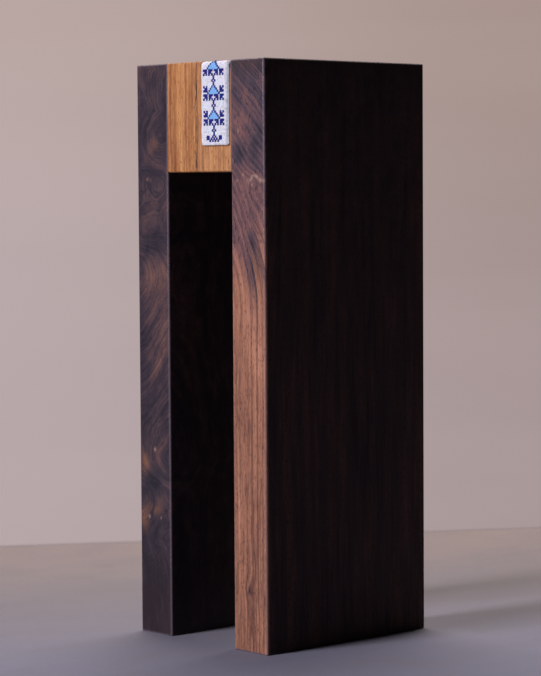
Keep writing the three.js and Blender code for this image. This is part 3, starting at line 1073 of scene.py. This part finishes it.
class CASE_OT_dowels(bpy.types.Operator):
    """Give the dowels their bare beech"""

    bl_idname = "case.dowels"
    bl_label = "Dowels"

    def execute(self, context):
        beech = dowel_wood(context.scene.case_wood)
        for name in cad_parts:
            if name.endswith("_dowel"):
                paint_node(name, beech)
        return {"FINISHED"}


class CASE_OT_stiffeners(bpy.types.Operator):
    """Give the stiffeners inside the flaps their card"""

    bl_idname = "case.stiffeners"
    bl_label = "Card Stiffeners"

    def execute(self, context):
        card = card_board(context.scene.case_cover)
        for name in ("front_stiffener", "back_stiffener"):
            paint_node(name, card)
        return {"FINISHED"}


# ---- Scroll -------------------------------------------------------------------------------

SKIN_THICKNESS = 0.3 * MM
PAPER_THICKNESS = 0.1 * MM
ROLL_RADII = (5.9 * MM, 3.5 * MM)  # of the parchment's outermost and innermost turn
ROLL_SHIFT = 0.4 * MM  # how far the turns of the parchment have slid along the roll
SLEEVE_TURNS = 1.22
FACES_ROUND = 40  # faces in one turn of a rolled sheet
FACES_ALONG = 24
LOOSE_EDGE = 2.2  # where the outer edge of a rolled sheet lies, in radians


def scraped_skin(look):
    """Scraped parchment: cloudy, with faint follicle marks, and slightly glossy."""
    weave = Finish("scraped_parchment")
    place = weave.place()
    cloud = weave.noise(place, (9, 9, 9), 4, 0.55)
    dots = weave.noise(place, (0.5, 0.5, 0.5), 1.5)
    tone = weave.mix(weave.step(cloud, 0.35, 0.7), look.parchment, look.hair_side)
    tone = weave.mix(weave.step(dots, 0.62, 0.75, 0, 0.25), tone, look.hair_side)
    return weave.surface(
        tone,
        weave.step(cloud, 0.3, 0.7, 0.42, 0.6),
        weave.weigh((cloud, 0.5), (dots, 1)),
        0.00004,
        subsurface_weight=0.08,
        subsurface_radius=(0.001, 0.0006, 0.0003),
    )


def sleeve_paper(look):
    weave = Finish("sleeve_paper")
    place = weave.place()
    pulp = weave.noise(place, (0.8, 0.8, 0.8), 4, 0.7)
    fleck = weave.noise(place, (0.5, 1 / 0.7, 0.5), 3)
    tone = weave.mix(weave.step(pulp, 0.3, 0.7), shade(look.paper, 0.88), look.paper)
    tone = weave.mix(weave.step(fleck, 0.66, 0.76, 0, 0.35), tone, shade(look.paper, 0.6))
    return weave.surface(tone, 0.85, pulp, 0.00003)


def rolled_sheet(middle, half, outer, inner, turns, shift):
    """A sheet rolled up along Y, from its outer edge inwards."""
    steps = round(turns * FACES_ROUND)
    made = bmesh.new()
    layer = made.loops.layers.uv.new("sheet")
    rows, uvs = [], []
    for step in range(steps + 1):
        turn = step / steps * turns
        radius = outer + (inner - outer) * step / steps
        angle = turn * TAU + LOOSE_EDGE
        creep = shift * math.sin(step * 0.05) * 0.6 + shift * (step / steps - 0.5)
        rows.append([])
        uvs.append([])
        for k in range(FACES_ALONG + 1):
            share = k / FACES_ALONG * 2 - 1
            reach = radius * (1 - 0.012 * math.cos(share * 3 + turn))
            y = share * (half - abs(shift)) + creep
            rows[-1].append(middle + Vector((math.cos(angle) * reach, y, math.sin(angle) * reach)))
            uvs[-1].append((turn * 30, share * half / MM))
    strip(made, layer, rows, uvs)
    bmesh.ops.recalc_face_normals(made, faces=made.faces)
    return made


class CASE_OT_scroll(bpy.types.Operator):
    """Roll the parchment and put its paper sleeve round it"""

    bl_idname = "case.scroll"
    bl_label = "Scroll"

    def execute(self, context):
        look = context.scene.case_scroll
        low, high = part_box("scroll")
        half = (high.y - low.y) / 2
        low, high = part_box("scroll_sleeve")
        middle, corner = (low + high) / 2, (high - low) / 2
        made = rolled_sheet(middle, half, *ROLL_RADII, look.turns, ROLL_SHIFT)
        skin = scraped_skin(look)
        add_sheet("parchment_roll", made, "scroll", skin, SKIN_THICKNESS, "scroll")
        outer, inner = corner.x - 0.01 * MM, corner.x - 0.13 * MM
        made = rolled_sheet(middle, corner.y, outer, inner, SLEEVE_TURNS, 0.0)
        paper = sleeve_paper(look)
        add_sheet("paper_sleeve", made, "scroll", paper, PAPER_THICKNESS, "scroll_sleeve")
        return {"FINISHED"}


# ---- Stage --------------------------------------------------------------------------------

SLAB_HALF = 1.4  # the table reaches this far to the sides and to the front
WARM_HAZE = (0.47, 0.34, 0.3)
COOL_HAZE = (0.43, 0.355, 0.39)
PALE_HAZE = (0.62, 0.55, 0.5)
ROOM_TINT = (1.0, 0.82, 0.72)
CAMERA_PLACE = (0.9478, -0.8654, 0.2350)
CAMERA_RIGHT = Vector((0.671114, 0.741332, -0.006210))
CAMERA_UP = Vector((-0.041502, 0.045932, 0.998088))


def table_top(look, away):
    """A pale grey slab, a little lighter and warmer towards its back edge."""
    weave = Finish("table_top")
    place = weave.place()
    red, green, blue = base = look.table
    near = (red * 0.97, green * 1.04, blue * 1.22)
    back = (red * 1.27, green * 1.12, blue * 0.96)
    dusty = (red * 0.86, green * 0.8, blue * 0.7)
    cloud = weave.noise(place, (70, 110, 1), 4, 0.6)
    speck = weave.noise(place, (4, 4, 4), 3, 0.7)
    stain = weave.noise(place, (34, 50, 1), 5, 0.65)
    far = weave.vector("DOT_PRODUCT", place, away)
    tone = weave.mix(weave.step(far, -110, 110), near, base)
    tone = weave.mix(weave.step(far, 40, 320), tone, back)
    tone = weave.mix(weave.step(cloud, 0.35, 0.7, 0, 0.3), tone, shade(base, 0.86))
    tone = weave.mix(weave.step(stain, 0.5, 0.72, 0, 0.2), tone, dusty)
    tone = weave.mix(weave.step(speck, 0.45, 0.7, 0, 0.2), tone, shade(base, 0.84))
    edge = look.edge / MM
    # A painted shade line near the back edge, where the table meets the backdrop.
    junction_shade = weave.bell(far, edge - 13, 7)
    tone = weave.mix(weave.times(junction_shade, 0.35), tone, shade(base, 0.5))
    fade = weave.step(far, edge - 2, edge - 24)
    return weave.surface(tone, 0.8, speck, 0.0001, 0.2, alpha=fade)


def add_table(look):
    """The slab, cut off along its back edge."""
    away = Vector((-math.cos(look.turn), -math.sin(look.turn), 0))
    across = Vector((away.y, -away.x, 0))
    made = bmesh.new()
    corners = ((-1, -SLAB_HALF), (1, -SLAB_HALF), (1, look.edge), (-1, look.edge))
    points = [across * (side * SLAB_HALF) + away * reach for side, reach in corners]
    made.faces.new([made.verts.new(point) for point in points])
    bmesh.ops.recalc_face_normals(made, faces=made.faces)
    if made.faces[:][0].normal.z < 0:
        bmesh.ops.reverse_faces(made, faces=made.faces)
    slab = finished_mesh("table_top", made)
    slab.materials.append(table_top(look, away))
    link(bpy.data.objects.new("table_top", slab))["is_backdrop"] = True


def add_backdrop(look):
    """Hazy tones behind the case, and a weak light from all sides."""
    world = bpy.data.worlds.new("Backdrop")
    bpy.context.scene.world = world
    world.use_nodes = True
    weave = Weave(world.node_tree)
    toward = weave.make("ShaderNodeNewGeometry", output="Position")
    side = weave.vector("DOT_PRODUCT", toward, (0.671, 0.741, -0.006))
    rise = weave.vector("DOT_PRODUCT", toward, (0, 0, 1))
    tone = weave.mix(weave.step(side, -0.13, 0.13), look.wall, look.wall_far)
    low_tone = weave.mix(0.4, tone, COOL_HAZE)
    tone = weave.mix(weave.step(rise, -0.14, 0.09), low_tone, tone)
    tone = weave.mix(weave.step(rise, -0.04, 0.09, 0, 0.3), tone, WARM_HAZE)
    cloud = weave.noise(toward, (1 / 3, 1 / 3, 1 / 22), 3, 0.6)
    tone = weave.mix(weave.step(cloud, 0.35, 0.65, 0, 0.06), tone, PALE_HAZE)
    looking = weave.make("ShaderNodeLightPath", output="Is Camera Ray")
    seen = weave.mix(looking, shade(ROOM_TINT, look.room), tone)
    weave.give(world.node_tree.nodes["Background"].inputs["Color"], seen)


def add_light(name, place, target, size, power, tone):
    light = bpy.data.lights.new(name, "AREA")
    light.shape = "RECTANGLE"
    light.size, light.size_y = size
    light.energy = power
    light.color = tone
    lamp = link(bpy.data.objects.new(name, light))
    lamp.location = place
    lamp.rotation_euler = (Vector(target) - lamp.location).to_track_quat("-Z", "Y").to_euler()


def add_camera(look):
    lens = bpy.data.cameras.new("Camera")
    lens.lens = look.lens
    lens.clip_start, lens.clip_end = 0.01, 50
    camera = link(bpy.data.objects.new("Camera", lens))
    turn = Matrix((CAMERA_RIGHT, CAMERA_UP, CAMERA_RIGHT.cross(CAMERA_UP))).transposed()
    camera.matrix_world = Matrix.Translation(CAMERA_PLACE) @ turn.to_4x4()
    bpy.context.scene.camera = camera


class CASE_OT_stage(bpy.types.Operator):
    """Set the table top, the backdrop tone, the soft window light and the camera"""

    bl_idname = "case.stage"
    bl_label = "Stage"

    def execute(self, context):
        look = context.scene.case_stage
        context.scene.view_settings.view_transform = "Standard"
        context.scene.view_settings.look = "None"
        add_table(look)
        add_backdrop(look)
        window = ("Window", (-0.2, -1.68, 0.85), (0, 0, 0.15), (0.4, 1.2))
        add_light(*window, look.window_power, look.window)
        sky = ("Skylight", (-0.86, 0.9, 1.5), (-0.86, 0.9001, 0), (1.7, 1.7))
        add_light(*sky, look.sky_power, look.sky)
        add_camera(look)
        return {"FINISHED"}


# ---- Panel and registration ---------------------------------------------------------------


class CASE_PT_panel(bpy.types.Panel):
    """Lists the pieces of the mezuzah case"""

    bl_idname = "CASE_PT_panel"
    bl_label = "Mezuzah Case"
    bl_space_type = "VIEW_3D"
    bl_region_type = "UI"
    bl_category = "Mezuzah Case"

    def draw(self, context):
        for maker in MAKERS:
            self.layout.operator(maker.bl_idname)
        for key in LOOKS:
            group = getattr(context.scene, key)
            box = self.layout.box()
            for name in group.bl_rna.properties.keys():
                if name not in {"rna_type", "name"}:
                    box.prop(group, name)


LOOKS = {
    "case_wood": WoodLook,
    "case_cover": CoverLook,
    "case_scroll": ScrollLook,
    "case_stage": StageLook,
}
MAKERS = (
    CASE_OT_stage,
    CASE_OT_posts,
    CASE_OT_lintel,
    CASE_OT_dowels,
    CASE_OT_stiffeners,
    CASE_OT_linen,
    CASE_OT_embroidery,
    CASE_OT_scroll,
)


def register():
    for group in LOOKS.values():
        bpy.utils.register_class(group)
    for maker in (*MAKERS, CASE_PT_panel):
        bpy.utils.register_class(maker)
    for key, group in LOOKS.items():
        setattr(bpy.types.Scene, key, bpy.props.PointerProperty(type=group))


def unregister():
    for key in LOOKS:
        delattr(bpy.types.Scene, key)
    for maker in reversed((*LOOKS.values(), *MAKERS, CASE_PT_panel)):
        bpy.utils.unregister_class(maker)


def main():
    register()
    for maker in MAKERS:
        group, name = maker.bl_idname.split(".")
        getattr(getattr(bpy.ops, group), name)()
    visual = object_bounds()
    boxes = {"cad": CAD_BOUNDS, "visual": visual}
    {key: [list(corner) for corner in box] for key, box in boxes.items()}


if __name__ == "__main__":
    main()
